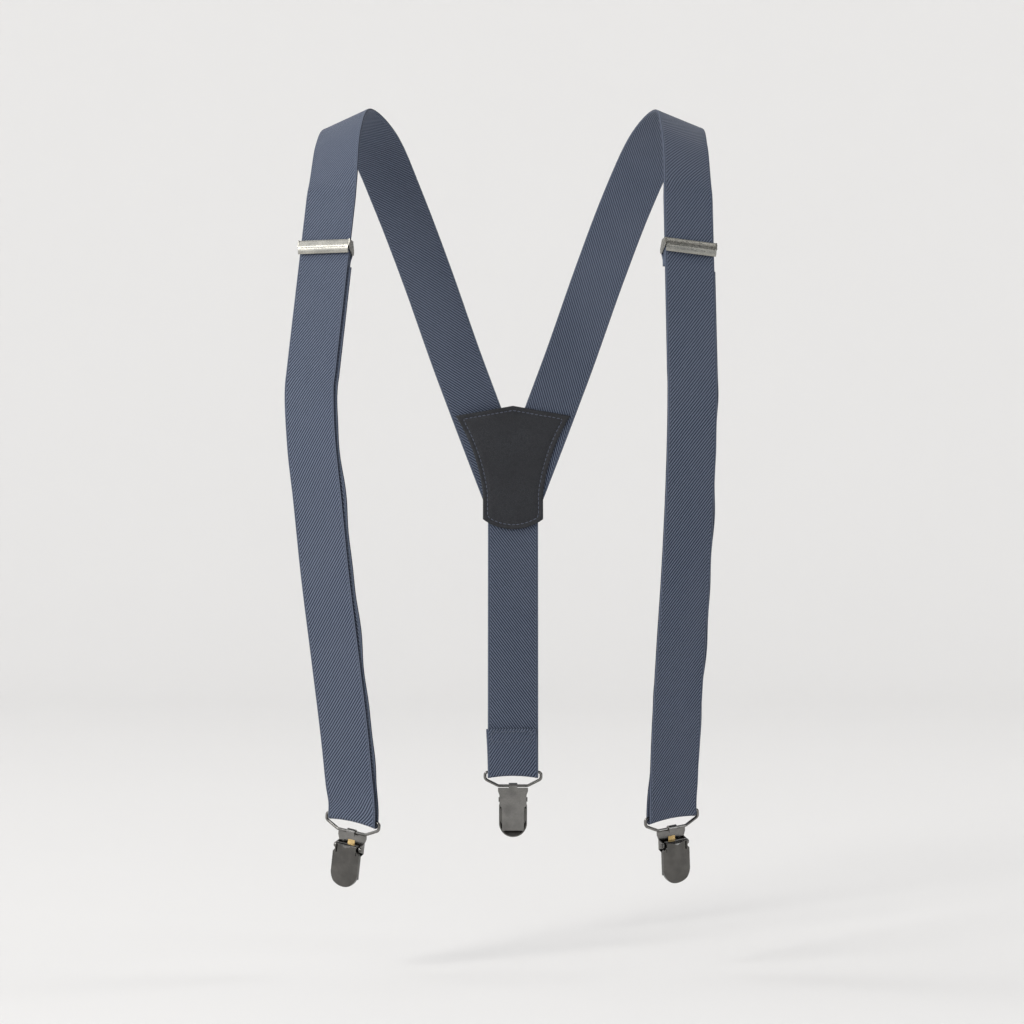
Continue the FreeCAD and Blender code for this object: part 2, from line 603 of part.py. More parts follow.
def build_pads(side):
    front = "(<wire_radius> + <wire_fit>)"
    body = new_body(f"{side}_base_pad", clip_frame(side))
    corners = rectangle("-6.8", "6.8", "-<jaw_bottom> + 1.3", "-19")
    front_pad(body, "slab", front, "<pad_thickness>", corners)
    for number in range(5):
        height = f"(-<jaw_bottom> + 3 + {number * 1.9})"
        rib = [(f"{front} - <pad_thickness>", f"{height} - 0.5"), (f"{front} - <pad_thickness>", f"{height} + 0.5"),
               (f"{front} - <pad_thickness> - 0.35", height)]
        side_pad(body, f"rib{number}", "13", rib)
    body = new_body(f"{side}_jaw_pad", clip_frame(side))
    front_pad(body, "slab", "-<jaw_back> + <pad_thickness>", "<pad_thickness>", corners)
    for number in range(5):
        height = f"(-<jaw_bottom> + 3.9 + {number * 1.9})"
        face = "(-<jaw_back> + <pad_thickness>)"
        rib = [(face, f"{height} - 0.5"), (f"{face} + 0.35", height), (face, f"{height} + 0.5")]
        side_pad(body, f"rib{number}", "13", rib)


def build_clip_spring(side):
    body = new_body(f"{side}_clip_spring", clip_frame(side))
    face = "(<wire_radius> + <wire_fit>)"
    leaf = [(face, "-5.4"), (face, "-17.6"), (f"{face} - 0.4", "-17.6"), (f"{face} - 0.4", "-9.6"),
            ("-<jaw_back> + 0.5", "-13.6"), ("-<jaw_back> + 0.15", "-13.4"), (f"{face} - 0.45", "-8.2"),
            (f"{face} - 0.35", "-5.4")]
    side_pad(body, "leaf", "5", leaf)


def build_clip_lever(side):
    """A pressed sheet paddle: bevelled sides, a bevelled rounded toe and a rounded top edge, all
    drawn as its hollow and then thickened outwards, with two cheeks that the pin goes through."""
    body = new_body(f"{side}_clip_lever", clip_frame(side))
    top, face = "(-<paddle_top> - <clip_sheet>)", "(-<paddle_front> + <clip_sheet>)"
    narrow, half = "(<paddle_top_half> - <clip_sheet>)", "(<paddle_half> - <clip_sheet>)"
    low, open_back = "(-<paddle_bottom> + <clip_sheet>)", "(-<paddle_front> + <paddle_depth>)"
    outline = [(f"-{narrow}", top), (f"-{narrow}", "-<paddle_shoulder> + 1.3"),
               (f"-{half}", "-<paddle_shoulder> - 1"), (f"-{half}", "-<paddle_straight>"),
               ("-4.9", f"{low} + 1.4"), ("4.9", f"{low} + 1.4"),
               (half, "-<paddle_straight>"), (half, "-<paddle_shoulder> - 1"),
               (narrow, "-<paddle_shoulder> + 1.3"), (narrow, top)]
    arcs = {3: (f"-({half} - 1.2)", f"{low} + 4.4"), 4: ("0", low), 5: (f"({half} - 1.2)", f"{low} + 4.4")}
    front_pad(body, "hollow", open_back, "<paddle_depth> - <clip_sheet>", outline, arcs)
    bevel = plane_sketch(body, "side_bevels", "XY_Plane", "-60")
    for sign in ("", "-"):
        wedge = [(f"{sign}0.5", face), (f"{sign}{half}", f"{face} + 1.7"),
                 (f"{sign}({half} + 2)", f"{face} + 1.7"), (f"{sign}({half} + 2)", f"{face} - 2"),
                 (f"{sign}0.5", f"{face} - 2")]
        add_outline(bevel, wedge)
    cut = extrude(body, "Pocket", bevel, "80")
    cut.Reversed = True
    doc.recompute()
    toe = [(face, "-<paddle_straight> - 1"), (f"{face} + 2", low), (f"{face} - 2", low),
           (f"{face} - 2", "-<paddle_straight> - 1")]
    side_pad(body, "toe_bevel", "30", toe, kind="Pocket")
    brow = [(face, f"{top} - 2.2"), (f"{face} - 2", f"{top} - 2.2"), (f"{face} - 2", top), (f"{face} + 1.3", top)]
    side_pad(body, "brow", "30", brow, {3: (f"{face} + 0.36", f"{top} - 0.75")}, kind="Pocket")
    solid = body.Tip
    back = [f"Face{i}" for i, piece in enumerate(solid.Shape.Faces, start=1)
            if abs(piece.BoundBox.YMax - value(body, open_back)) < 1e-6 and piece.BoundBox.YLength < 1e-6]
    shell = body.newObject("PartDesign::Thickness", "pressed_sheet")
    shell.Base = (solid, back)
    shell.Join = "Intersection"
    shell.Reversed = False
    shell.setExpression("Value", bound("<clip_sheet>"))
    doc.recompute()
    cheek = [("-<paddle_front> + 0.6", "-<paddle_top> - 1.2"), ("-<paddle_front> + 0.6", "-<pin_drop> - 4.2"),
             (open_back, "-<pin_drop> - 3.2"), ("-<pin_depth> + 1.5", "-<pin_drop>"),
             ("-<pin_depth> + 0.2", "-<paddle_top> - 0.9")]
    side_pad(body, "right_cheek", "0.8", cheek, start="6.9")
    side_pad(body, "left_cheek", "0.8", cheek, start="-7.7")
    side_rod(body, "pin_bore", "30", ("-<pin_depth>", "-<pin_drop>"), "<pin_radius> + 0.05", kind="Pocket")


for side in ("left", "right"):
    build_shoulder_strap(side)
    build_adjuster(side)
build_back_strap()
build_patch()
for side in ("left", "right", "back"):
    build_wire_loop(side)
    build_clip_base(side)
    build_clip_pin(side)
    build_clip_jaw(side)
    build_pads(side)
    build_clip_spring(side)
    build_clip_lever(side)
doc.recompute()

faults = [item.Label for item in doc.Objects if "Invalid" in item.State or "Error" in item.State]
for piece in pieces:
    shape = piece.Shape
    if shape.isNull() or not shape.isValid() or len(shape.Solids) != 1:
        faults.append(f"{piece.Label}: {'null' if shape.isNull() else (shape.isValid(), len(shape.Solids))}")
if faults:
    raise SystemExit(f"not built: {faults}")
os.makedirs("parts", exist_ok=True)
for piece in pieces:
    piece.Shape.exportStep(f"parts/{piece.Label}.step")
    print(piece.Label, round(piece.Shape.Volume, 1))
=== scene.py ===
"""The looks of a pair of Y-back suspenders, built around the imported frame."""

from math import atan2, cos, pi, radians, sin, sqrt

import bpy
import numpy as np
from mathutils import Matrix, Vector


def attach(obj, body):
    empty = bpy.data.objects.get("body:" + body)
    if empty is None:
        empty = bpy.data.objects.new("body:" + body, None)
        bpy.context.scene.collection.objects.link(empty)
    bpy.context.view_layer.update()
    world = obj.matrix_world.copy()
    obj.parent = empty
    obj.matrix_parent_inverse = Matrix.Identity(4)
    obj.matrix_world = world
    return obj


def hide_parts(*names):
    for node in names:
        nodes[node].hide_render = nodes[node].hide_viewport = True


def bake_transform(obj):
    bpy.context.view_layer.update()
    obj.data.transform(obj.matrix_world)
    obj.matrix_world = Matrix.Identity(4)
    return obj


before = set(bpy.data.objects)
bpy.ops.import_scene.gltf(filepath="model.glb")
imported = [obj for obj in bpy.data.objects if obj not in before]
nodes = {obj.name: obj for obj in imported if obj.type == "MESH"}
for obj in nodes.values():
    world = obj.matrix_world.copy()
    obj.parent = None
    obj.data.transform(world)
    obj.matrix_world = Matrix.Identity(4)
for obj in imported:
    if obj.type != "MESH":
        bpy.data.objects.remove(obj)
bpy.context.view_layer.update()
MM = 0.001

# ------------------------------------------------------------------ the design, in millimetres

STRAP_WIDTH = 35.0
THICKNESS = 1.6
LAYER_GAP = 0.4
FOLD_CLEARANCE = 0.1
RETURN_SHIFT = 1.6
WIRE_RADIUS = 1.0
LOOP_HEIGHT = 9.4
ADJUSTER_DROP = 32.5
TAIL_LENGTH = 13.0
TAIL_BAR_DEPTH = 3.9
TAIL_BAR_HEIGHT = -2.6
TAIL_SETTLE = 7.0       # length over which the tail loop's two layers close up
TAIL_SEAM_RISE = 3.6
TAIL_SEAM_INSET = 3.2
TAIL_SEAM_HEIGHT = 3.4
BACK_TAIL = 30.0
BACK_SEAM_RISE = 24.0   # middle of the back strap's box of stitches, above the wire loop's top bar
BACK_SEAM_HEIGHT = 7.0
BACK_SEAM_INSET = 3.5
STRAIGHT_START = 10
RING_PITCH = 1.5
EDGE_DROOP = 1.7        # the fold's two corners sag below the middle of the wire
DROOP_REACH = 16.0
FOLD_LEAD = 9.0         # straight run from the fold up to the route's last point
STRAY_START = 25.0      # length below the adjuster over which the return layer begins to stray
RETURN_SETTLE = 45.0    # length over which the return layer closes up on the front layer
TWILL_PITCH = 1.55
PICK_PITCH = 1.0
TWILL_SLOPE = (0.80, 0.60)      # a rib's normal, across the strap and down it
SELVEDGE_INSIDE = 15.7          # the plain edge begins here, measured from the middle
SELVEDGE_OUTSIDE = 16.1
LADDER_PITCH = 1.15

# The return layer's sideways waves: height, length and share of the starting phase.
EDGE_WAVES = [(0.45, 13.0, 1.0), (0.35, 7.1, 2.3), (0.25, 31.0, 0.7)]

STITCH_LENGTH = 1.9
STITCH_PITCH = 2.6
THREAD_RADIUS = 0.28
PATCH_STITCH_PITCH = 3.1
PATCH_STITCH_SHARE = 0.76       # how much of the pitch is thread
PATCH_SEAM_INSET = 3.2
PATCH_SEAM_DEPTH = 0.82         # share of the patch's thickness at the sunk seam
PATCH_THREAD_RADIUS = 0.3

# Middle of each wire loop's lower bar, the bar's direction (the strap's right seen from
# outside), the way the clip hangs down from it, and the way the strap comes down to it.
CLIP_SEATS = {
    "left": ((-104.4, -90.0, -466.6), (0.884, -0.440, -0.160), (-0.115, 0.14, -0.98), (0.02, 0.27, -0.96)),
    "right": ((102.8, -90.0, -464.2), (0.884, 0.450, 0.128), (0.05, 0.20, -0.97), (0.00, 0.27, -0.96)),
    "back": ((0.0, 92.0, -452.0), (-1.0, 0.0, 0.0), (0.0, 0.02, -1.0), (0.0, -0.12, -1.0)),
}

# Each strap's middle line and the way its outer face looks at each point.
ROUTES = {
    "left": [
        ((-4.0, 119.9, -250.0), (0.0, 1.0, 0.0)),
        ((-17.5, 119.9, -215.0), (0.0, 1.0, 0.0)),
        ((-27.0, 119.4, -190.0), (-0.03, 1.0, 0.05)),
        ((-40.0, 113.8, -155.0), (-0.08, 0.99, 0.12)),
        ((-60.0, 100.0, -98.0), (-0.15, 0.93, 0.33)),
        ((-79.0, 76.0, -48.0), (-0.22, 0.75, 0.62)),
        ((-94.5, 41.0, -13.0), (-0.32, 0.40, 0.87)),
        ((-109.5, 3.0, 0.8), (-0.40, 0.0, 0.92)),
        ((-114.8, -40.0, -14.0), (-0.46, -0.47, 0.75)),
        ((-117.0, -72.0, -45.0), (-0.40, -0.86, 0.31)),
        ((-118.3, -75.9, -58.0), (-0.36, -0.90, 0.28)),
        ((-129.3, -108.9, -168.0), (-0.36, -0.90, 0.28)),
        ((-130.4, -112.5, -180.0), (-0.38, -0.91, 0.20)),
        ((-128.8, -121.0, -214.0), (-0.41, -0.91, 0.10)),
        ((-124.6, -125.5, -252.0), (-0.42, -0.91, 0.0)),
        ((-119.8, -124.5, -300.0), (-0.42, -0.91, -0.02)),
        ((-114.0, -118.5, -350.0), (-0.42, -0.91, -0.08)),
        ((-108.5, -108.5, -400.0), (-0.42, -0.91, -0.10)),
        ((-105.6, -98.8, -434.0), (-0.43, -0.90, -0.14)),
    ],
    "right": [
        ((4.0, 116.35, -250.0), (0.0, 1.0, 0.0)),
        ((17.5, 116.35, -215.0), (0.0, 1.0, 0.0)),
        ((27.0, 116.4, -190.0), (0.02, 1.0, 0.04)),
        ((40.0, 112.4, -155.0), (0.08, 0.99, 0.12)),
        ((60.0, 100.0, -98.0), (0.15, 0.93, 0.33)),
        ((79.0, 76.0, -48.0), (0.22, 0.75, 0.62)),
        ((95.5, 41.0, -13.0), (0.32, 0.40, 0.87)),
        ((109.5, 3.0, 0.8), (0.36, 0.0, 0.93)),
        ((112.4, -40.0, -14.0), (0.44, -0.48, 0.76)),
        ((113.4, -72.0, -45.0), (0.42, -0.85, 0.28)),
        ((113.6, -75.9, -58.0), (0.38, -0.90, 0.28)),
        ((114.7, -108.9, -168.0), (0.38, -0.90, 0.28)),
        ((114.8, -112.5, -180.0), (0.39, -0.91, 0.20)),
        ((113.9, -121.0, -214.0), (0.41, -0.91, 0.10)),
        ((112.4, -125.5, -252.0), (0.42, -0.91, 0.0)),
        ((110.0, -124.5, -300.0), (0.42, -0.91, -0.02)),
        ((107.0, -118.5, -350.0), (0.42, -0.91, -0.08)),
        ((104.6, -108.5, -400.0), (0.42, -0.91, -0.10)),
        ((103.6, -98.8, -434.0), (0.43, -0.90, -0.14)),
    ],
    "back": [
        ((0.0, 118.2, -206.0), (0.0, 1.0, 0.0)),
        ((0.0, 118.2, -246.0), (0.0, 1.0, 0.0)),
        ((0.0, 118.2, -254.0), (0.0, 1.0, 0.0)),
        ((0.0, 117.3, -275.0), (0.0, 1.0, -0.04)),
        ((0.0, 114.5, -300.0), (0.0, 1.0, -0.10)),
        ((0.0, 106.5, -350.0), (0.0, 1.0, -0.15)),
        ((0.0, 99.4, -396.0), (0.0, 1.0, -0.14)),
        ((0.0, 96.6, -420.0), (0.0, 1.0, -0.12)),
    ],
}

# The two yoke patches: the middle they narrow to (x, z), and the faces that touch the straps.
PATCH_HUB = (0.0, -222.0)
YOKE_Y = 118.2
STACK_HALF = 2.85       # half of the three straps' stack under the patches
PATCH_OUTER_Y = YOKE_Y + STACK_HALF
PATCH_INNER_Y = YOKE_Y - STACK_HALF
PATCH_THICKNESS = 1.4


# ------------------------------------------------------------------ lines and sections

def spline_point(points, i, t):
    """Centripetal Catmull-Rom between points i and i + 1."""
    a = points[max(i - 1, 0)]
    b, c = points[i], points[i + 1]
    d = points[min(i + 2, len(points) - 1)]
    if i == 0:
        a = b * 2 - c
    if i == len(points) - 2:
        d = c * 2 - b
    k0 = 0.0
    k1 = k0 + sqrt((b - a).length)
    k2 = k1 + sqrt((c - b).length)
    k3 = k2 + sqrt((d - c).length)
    k = k1 + (k2 - k1) * t
    ab = a * ((k1 - k) / (k1 - k0)) + b * ((k - k0) / (k1 - k0))
    bc = b * ((k2 - k) / (k2 - k1)) + c * ((k - k1) / (k2 - k1))
    cd = c * ((k3 - k) / (k3 - k2)) + d * ((k - k2) / (k3 - k2))
    abc = ab * ((k2 - k) / (k2 - k0)) + bc * ((k - k0) / (k2 - k0))
    bcd = bc * ((k3 - k) / (k3 - k1)) + cd * ((k - k1) / (k3 - k1))
    return abc * ((k2 - k) / (k2 - k1)) + bcd * ((k - k1) / (k2 - k1))


class Section:
    """One cross-section of a band: its middle, its way along, its width and its outer face."""

    def __init__(self, middle, along, facing):
        self.middle = Vector(middle)
        self.along = Vector(along).normalized()
        self.width = Vector(facing).cross(self.along).normalized()
        self.out = self.along.cross(self.width)
        self.droop = Vector((0.0, 0.0, 0.0))    # how far its two edges hang below its middle

    def moved(self, outward, sideways=0.0):
        return Section(self.middle + self.out * outward + self.width * sideways, self.along, self.out)


def route_sections(route):
    points = [Vector(p) for p, facing in route]
    faces = [Vector(facing) for p, facing in route]
    sections = []
    for i in range(len(points) - 1):
        steps = max(2, round((points[i + 1] - points[i]).length / RING_PITCH))
        for step in range(steps + (i == len(points) - 2)):
            t = step / steps
            here = spline_point(points, i, t)
            ahead = spline_point(points, i, t + 0.01) - spline_point(points, i, t - 0.01)
            blend = t * t * (3 - 2 * t)
            sections.append(Section(here, ahead, faces[i] * (1 - blend) + faces[i + 1] * blend))
    return sections


def square_to(axis, direction):
    return (direction - axis * direction.dot(axis)).normalized()


def clip_frame(side):
    """Origin on the loop's lower bar, and the directions right, away and up seen from outside."""
    seat, bar, clip_fall, strap_fall = CLIP_SEATS[side]
    right = Vector(bar).normalized()
    up = square_to(right, Vector(clip_fall)) * -1
    return Vector(seat), right, up.cross(right), up


def loop_bar(side):
    """The wire loop's top bar, inside the strap's fold: centre, bar, down the strap, outward."""
    seat, right, away, up = clip_frame(side)
    fall = square_to(right, Vector(CLIP_SEATS[side][3]))
    return seat + up * LOOP_HEIGHT, right, fall, fall.cross(right)


def adjuster_frame(side):
    """Origin at the strap's middle under the adjuster, then right, away and up."""
    route = ROUTES[side]
    upper, lower = Vector(route[STRAIGHT_START][0]), Vector(route[STRAIGHT_START + 1][0])
    cut = Section(upper, lower - upper, route[STRAIGHT_START][1])
    return upper + cut.along * ADJUSTER_DROP, cut.width, cut.out * -1, cut.along * -1


def smooth(x):
    x = min(1.0, max(0.0, x))
    return x * x * (3 - 2 * x)


def edge_wander(distance, phase):
    """How far the loose return layer strays sideways from the front layer."""
    return sum(height * sin(distance / length + share * phase) for height, length, share in EDGE_WAVES)


def strap_sections(side):
    """Sections from the yoke to the clip, round the wire, and up behind as the return layer."""
    turn = WIRE_RADIUS + FOLD_CLEARANCE + THICKNESS / 2
    centre, bar, down, out = loop_bar(side)
    fold = []
    for step in range(25):
        angle = pi * step / 24
        outward = out * cos(angle) + down * sin(angle)
        fold.append(Section(centre + outward * turn, down * cos(angle) - out * sin(angle), outward))
    lead = fold[0].middle - down * FOLD_LEAD
    run = route_sections(ROUTES[side] + [(tuple(lead), tuple(out)), (tuple(fold[0].middle), tuple(out))])
    back, travelled = [], 0.0
    before = fold[0].middle
    for cut in reversed(run[:-1]):
        if side == "back":
            stop = cut.middle.z > centre.z + BACK_TAIL
        else:
            stop = cut.middle.z > ROUTES[side][STRAIGHT_START + 1][0][2] + 0.5
        if stop:
            break
        travelled += (cut.middle - before).length
        before = cut.middle
        ease = smooth((cut.middle - fold[0].middle).length / RETURN_SETTLE)
        depth = 2 * turn + (THICKNESS + LAYER_GAP - 2 * turn) * ease
        stray = 0.0
        if side != "back":
            left = cut.middle.z - ROUTES[side][STRAIGHT_START + 1][0][2]
            stray = edge_wander(travelled, len(side)) * ease * smooth(-left / STRAY_START)
        moved = cut.moved(-depth, RETURN_SHIFT * ease + stray)
        back.append(Section(moved.middle, cut.along * -1, cut.out * -1))
    sections = run[:-1] + fold + back
    for cut in sections:
        near = 1.0 - (cut.middle - centre).length / DROOP_REACH
        cut.droop = down * (EDGE_DROOP * smooth(near))
    return sections


def band_profile(half, thick):
    """The webbing's cross-section (across, outward), from one edge round both faces."""
    face = [(-0.10, 0.55), (-0.45, 0.86), (-0.95, 0.97), (-1.30, 0.80), (-1.62, 0.97), (-2.15, 1.0),
            (-2.45, 0.84), (-2.85, 0.90)]
    h = thick / 2
    front = [(half, 0.0)]
    front += [(half + x, h * y) for x, y in face]
    inner = half - 4.0
    crown = [(inner * (1 - 2 * i / 9), h * 0.92) for i in range(10)]
    front += crown
    front += [(-x, y) for x, y in reversed(front[1:9])]
    back = [(-x, -y) for x, y in front]
    return front + back


def add_mesh(name, vertices, faces, uvs=None):
    mesh = bpy.data.meshes.new(name)
    mesh.from_pydata([Vector(v) * MM for v in vertices], [], faces)
    if uvs is not None:
        layer = mesh.uv_layers.new(name="weave")
        for loop in mesh.loops:
            layer.data[loop.index].uv = uvs[loop.vertex_index]
    for polygon in mesh.polygons:
        polygon.use_smooth = True
    mesh.validate()
    mesh.update()
    piece = bpy.data.objects.new(name, mesh)
    bpy.context.scene.collection.objects.link(piece)
    return piece


def band(name, sections, width, thickness):
    """A closed ribbon with selvedges along both edges; its length comes back with it."""
    profile = band_profile(width / 2, thickness)
    count = len(profile)
    vertices, uvs, faces = [], [], []
    along = 0.0
    for i, cut in enumerate(sections):
        if i:
            along += (cut.middle - sections[i - 1].middle).length
        for across, outward in profile:
            share = (2 * across / width) ** 2
            vertices.append(cut.middle + cut.width * across + cut.out * outward + cut.droop * share)
            uvs.append((across, along))
    for i in range(len(sections) - 1):
        for j in range(count):
            a, b = i * count + j, i * count + (j + 1) % count
            faces.append((a, b, b + count, a + count))
    last = (len(sections) - 1) * count
    half = count // 2
    for base, flip in ((0, False), (last, True)):
        for j in range(half - 1):
            k = count - 1 - j
            quad = [base + j, base + (k + 1) % count, base + k, base + j + 1]
            if len(set(quad)) < 4:
                quad = [base + j, base + k, base + j + 1]
            faces.append(tuple(reversed(quad)) if flip else tuple(quad))
        rest = [base + half - 1, base + half + 1, base + half]
        faces.append(tuple(reversed(rest)) if flip else tuple(rest))
    piece = add_mesh(name, vertices, faces, uvs)
    return piece, along


def stitch_mesh(name, stitches, radius):
    """Short rounded threads, each from one point to another, a little sunk at both ends."""
    vertices, faces = [], []
    sides, rings = 8, 7
    for a, b, out in stitches:
        a, b, out = Vector(a), Vector(b), Vector(out).normalized()
        along = (b - a).normalized()
        across = along.cross(out).normalized()
        base = len(vertices)
        for i in range(rings):
            t = i / (rings - 1)
            swell = sqrt(max(0.06, 1 - (2 * t - 1) ** 2))
            lift = out * (radius * (1.0 * swell - 0.45))
            centre = a + (b - a) * t + lift
            for k in range(sides):
                angle = 2 * pi * k / sides
                vertices.append(centre + (across * cos(angle) + out * sin(angle)) * (radius * swell))
        for i in range(rings - 1):
            for k in range(sides):
                p, q = base + i * sides + k, base + i * sides + (k + 1) % sides
                faces.append((p, p + sides, q + sides, q))
        faces.append(tuple(base + k for k in range(sides)))
        faces.append(tuple(base + (rings - 1) * sides + k for k in reversed(range(sides))))
    return add_mesh(name, vertices, faces)


# ------------------------------------------------------------------ materials

class Shader:
    """A material's node tree, with short ways to add to it."""

    def __init__(self, name):
        self.material = bpy.data.materials.new(name)
        self.material.use_nodes = True
        self.tree = self.material.node_tree
        self.surface = self.tree.nodes["Principled BSDF"]

    def put(self, socket, value):
        if isinstance(value, bpy.types.NodeSocket):
            self.tree.links.new(value, socket)
        else:
            socket.default_value = value

    def fixed(self, **values):
        for name, value in values.items():
            self.surface.inputs[name.replace("_", " ")].default_value = value

    def math(self, operation, a, b=0.0, c=0.0):
        node = self.tree.nodes.new("ShaderNodeMath")
        node.operation = operation
        for socket, value in zip(node.inputs, (a, b, c)):
            self.put(socket, value)
        return node.outputs[0]

    def ramp(self, value, low, high, to_low=0.0, to_high=1.0):
        node = self.tree.nodes.new("ShaderNodeMapRange")
        node.interpolation_type = "SMOOTHSTEP"
        for name, x in (("Value", value), ("From Min", low), ("From Max", high), ("To Min", to_low),
                        ("To Max", to_high)):
            self.put(node.inputs[name], x)
        return node.outputs[0]

    def noise(self, vector, scale, detail=2.0, roughness=0.5):
        node = self.tree.nodes.new("ShaderNodeTexNoise")
        self.put(node.inputs["Vector"], vector)
        node.inputs["Scale"].default_value = scale
        node.inputs["Detail"].default_value = detail
        node.inputs["Roughness"].default_value = roughness
        return node.outputs["Fac"]

    def mix(self, factor, a, b):
        node = self.tree.nodes.new("ShaderNodeMix")
        node.data_type = "RGBA"
        self.put(node.inputs[0], factor)
        self.put(node.inputs[6], a)
        self.put(node.inputs[7], b)
        return node.outputs[2]

    def bump(self, height, distance, strength):
        node = self.tree.nodes.new("ShaderNodeBump")
        self.put(node.inputs["Height"], height)
        node.inputs["Distance"].default_value = distance
        node.inputs["Strength"].default_value = strength
        self.tree.links.new(node.outputs[0], self.surface.inputs["Normal"])

    def place(self):
        return self.tree.nodes.new("ShaderNodeTexCoord").outputs["Object"]

    def stretched(self, vector, scale):
        node = self.tree.nodes.new("ShaderNodeMapping")
        self.put(node.inputs["Vector"], vector)
        node.inputs["Scale"].default_value = scale
        return node.outputs[0]


def webbing_material():
    """Elastic webbing: a steep twill of dark and pale yarns between plain woven selvedges."""
    s = Shader("elastic_webbing")
    uv = s.tree.nodes.new("ShaderNodeUVMap")
    uv.uv_map = "weave"
    split = s.tree.nodes.new("ShaderNodeSeparateXYZ")
    s.put(split.inputs[0], uv.outputs[0])
    across, along = split.outputs[0], split.outputs[1]
    where = s.place()
    sway = s.math("MULTIPLY", s.noise(uv.outputs[0], 0.10, 2.0), 0.4)
    rise, run = TWILL_SLOPE
    rib = s.math("MULTIPLY_ADD", across, 2 * pi * rise / TWILL_PITCH,
                 s.math("MULTIPLY", along, 2 * pi * run / TWILL_PITCH))
    rib = s.math("SINE", s.math("ADD", rib, sway))
    pick = s.math("MULTIPLY_ADD", across, 2 * pi * run / PICK_PITCH,
                  s.math("MULTIPLY", along, -2 * pi * rise / PICK_PITCH))
    pick = s.math("SINE", s.math("ADD", pick, s.math("MULTIPLY", sway, 0.8)))
    crossed = s.math("MULTIPLY", rib, s.math("MULTIPLY_ADD", pick, 0.22, 0.78))
    twill = s.math("MULTIPLY_ADD", crossed, 0.5, 0.5)
    wide = s.math("ABSOLUTE", across)
    selvedge = s.ramp(wide, SELVEDGE_INSIDE, SELVEDGE_OUTSIDE)
    ladder = s.math("SINE", s.math("MULTIPLY", along, 2 * pi / LADDER_PITCH))
    plain = s.math("MULTIPLY_ADD", ladder, 0.10, 0.52)
    warp = s.math("SINE", s.math("MULTIPLY_ADD", wide, 2 * pi / 1.0, 1.9))
    plain = s.math("ADD", plain, s.math("MULTIPLY", warp, 0.30))
    weave = s.math("ADD", s.math("MULTIPLY", twill, s.math("SUBTRACT", 1.0, selvedge)),
                   s.math("MULTIPLY", plain, selvedge))
    fibre = s.noise(where, 5200.0, 2.0, 0.7)
    tone = s.math("ADD", weave, s.math("MULTIPLY_ADD", fibre, 0.5, -0.25))
    height = s.tree.nodes.new("ShaderNodeSeparateXYZ")
    s.put(height.inputs[0], where)
    strength = s.ramp(height.outputs[2], -0.30, -0.08, 1.0, 0.45)
    tone = s.math("MULTIPLY_ADD", s.math("SUBTRACT", tone, 0.47), strength, 0.47)
    yarn = s.mix(s.ramp(tone, 0.20, 0.74), (0.010, 0.015, 0.032, 1.0), (0.136, 0.164, 0.226, 1.0))
    cloudy = s.noise(where, 22.0, 3.0)
    faded = s.mix(s.ramp(cloudy, 0.25, 0.75, 0.0, 0.10), yarn, (0.15, 0.165, 0.21, 1.0))
    s.put(s.surface.inputs["Base Color"], faded)
    s.put(s.surface.inputs["Roughness"], s.ramp(tone, 0.0, 1.0, 0.90, 0.72))
    s.fixed(Sheen_Weight=0.10, Sheen_Roughness=0.45, Specular_IOR_Level=0.2)
    s.bump(s.math("ADD", weave, s.math("MULTIPLY", fibre, 0.35)), 0.00030, 0.9)
    return s.material


def thread_material():
    s = Shader("sewing_thread")
    where = s.place()
    twist = s.noise(s.stretched(where, (1.0, 1.0, 0.4)), 4200.0, 2.0, 0.6)
    s.put(s.surface.inputs["Base Color"], s.mix(twist, (0.035, 0.042, 0.065, 1.0), (0.12, 0.14, 0.20, 1.0)))
    s.put(s.surface.inputs["Roughness"], s.ramp(twist, 0.2, 0.8, 0.45, 0.65))
    s.fixed(Sheen_Weight=0.3)
    s.bump(twist, 0.0001, 0.5)
    return s.material


def leather_material():
    """Black leatherette with a pebbled grain and a polish that varies from place to place."""
    s = Shader("leatherette")
    where = s.place()
    cells = s.tree.nodes.new("ShaderNodeTexVoronoi")
    cells.feature = "DISTANCE_TO_EDGE"
    cells.inputs["Scale"].default_value = 950.0
    s.put(cells.inputs["Vector"], where)
    pebble = s.ramp(cells.outputs["Distance"], 0.0, 0.28)
    grain = s.noise(where, 420.0, 5.0, 0.6)
    worn = s.noise(where, 40.0, 3.0)
    s.put(s.surface.inputs["Base Color"],
          s.mix(s.math("MULTIPLY", pebble, s.ramp(worn, 0.3, 0.8, 0.3, 1.0)),
                (0.010, 0.011, 0.014, 1.0), (0.034, 0.037, 0.046, 1.0)))
    s.put(s.surface.inputs["Roughness"], s.ramp(grain, 0.3, 0.7, 0.42, 0.62))
    s.fixed(Specular_IOR_Level=0.45)
    s.bump(s.math("ADD", pebble, s.math("MULTIPLY", grain, 0.6)), 0.00012, 0.7)
    return s.material


def metal_material(name, dull, bright, roughness, scratch=0.25):
    """Plated metal: faint cloudiness, fine scratches, and polish that varies from place to place."""
    s = Shader(name)
    where = s.place()
    cloud = s.noise(where, 130.0, 3.0)
    s.put(s.surface.inputs["Base Color"], s.mix(s.ramp(cloud, 0.3, 0.7), dull, bright))
    scratches = s.noise(s.stretched(where, (240.0, 240.0, 3600.0)), 1.0, 3.0, 0.7)
    wear = s.noise(where, 620.0, 4.0, 0.6)
    rub = s.math("ADD", s.math("MULTIPLY", scratches, 0.55), s.math("MULTIPLY", wear, 0.45))
    s.put(s.surface.inputs["Roughness"], s.ramp(rub, 0.3, 0.7, roughness - 0.05, roughness + 0.08))
    s.fixed(Metallic=1.0)
    s.bump(rub, 0.00004, scratch)
    return s.material


